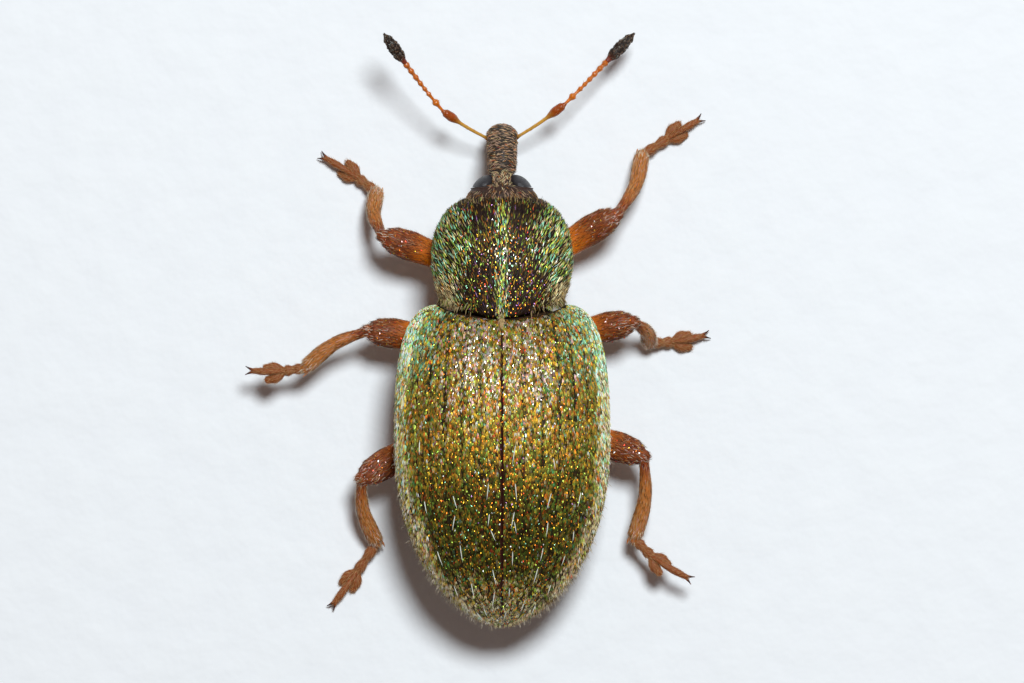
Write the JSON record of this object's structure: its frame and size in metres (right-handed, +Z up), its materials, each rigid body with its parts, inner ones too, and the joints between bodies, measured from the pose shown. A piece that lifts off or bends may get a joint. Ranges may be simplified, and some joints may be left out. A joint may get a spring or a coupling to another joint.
{
  "type": "black-beaked green weevil",
  "caption": "Life-size still model of a small green weevil in mid step, with a long dark beak bent down, elbowed feelers with clubs, and closed, grooved wing cases.",
  "frame": {"origin": "on the floor, under the middle of the whole insect's bounding box", "axes": "+Z up, the head faces -Y and the tail +Y, the insect's left side is +X"},
  "size_m": [0.004, 0.005, 0.0016],
  "materials": {
    "green_scales": "close coat of shimmering olive, gold and blue-green scales over dark wing cases",
    "shield_scales": "hair-like scales, brown in two bands and green on the middle and the sides",
    "pale_scales": "pale hair-like scales",
    "black_beak": "blackish brown skin, finely wrinkled, with short tan hairs",
    "eye": "black, made of fine facets",
    "russet_leg": "amber brown, slightly see-through, with fine pale hairs",
    "dark_club": "dark brown and velvety",
    "belly": "dark brown under thin pale scales"
  },
  "bodies": {
    "root": {"pronotum": "shield_scales", "scutellum": "pale_scales", "wing_case_left": "green_scales", "wing_case_right": "green_scales", "thorax": "belly", "abdomen": "belly", "head": "black_beak", "eye_left": "eye", "eye_right": "eye", "snout": "black_beak", "scape_left": "russet_leg", "stalk_left": "russet_leg", "club_left": "dark_club", "scape_right": "russet_leg", "stalk_right": "russet_leg", "club_right": "dark_club", "hip_front_left": "russet_leg", "thigh_front_left": "russet_leg", "shin_front_left": "russet_leg", "foot_front_left": "russet_leg", "hip_front_right": "russet_leg", "thigh_front_right": "russet_leg", "shin_front_right": "russet_leg", "foot_front_right": "russet_leg", "hip_middle_left": "russet_leg", "thigh_middle_left": "russet_leg", "shin_middle_left": "russet_leg", "foot_middle_left": "russet_leg", "hip_middle_right": "russet_leg", "thigh_middle_right": "russet_leg", "shin_middle_right": "russet_leg", "foot_middle_right": "russet_leg", "hip_hind_left": "russet_leg", "thigh_hind_left": "russet_leg", "shin_hind_left": "russet_leg", "foot_hind_left": "russet_leg", "hip_hind_right": "russet_leg", "thigh_hind_right": "russet_leg", "shin_hind_right": "russet_leg", "foot_hind_right": "russet_leg"}
  },
  "joints": []
}
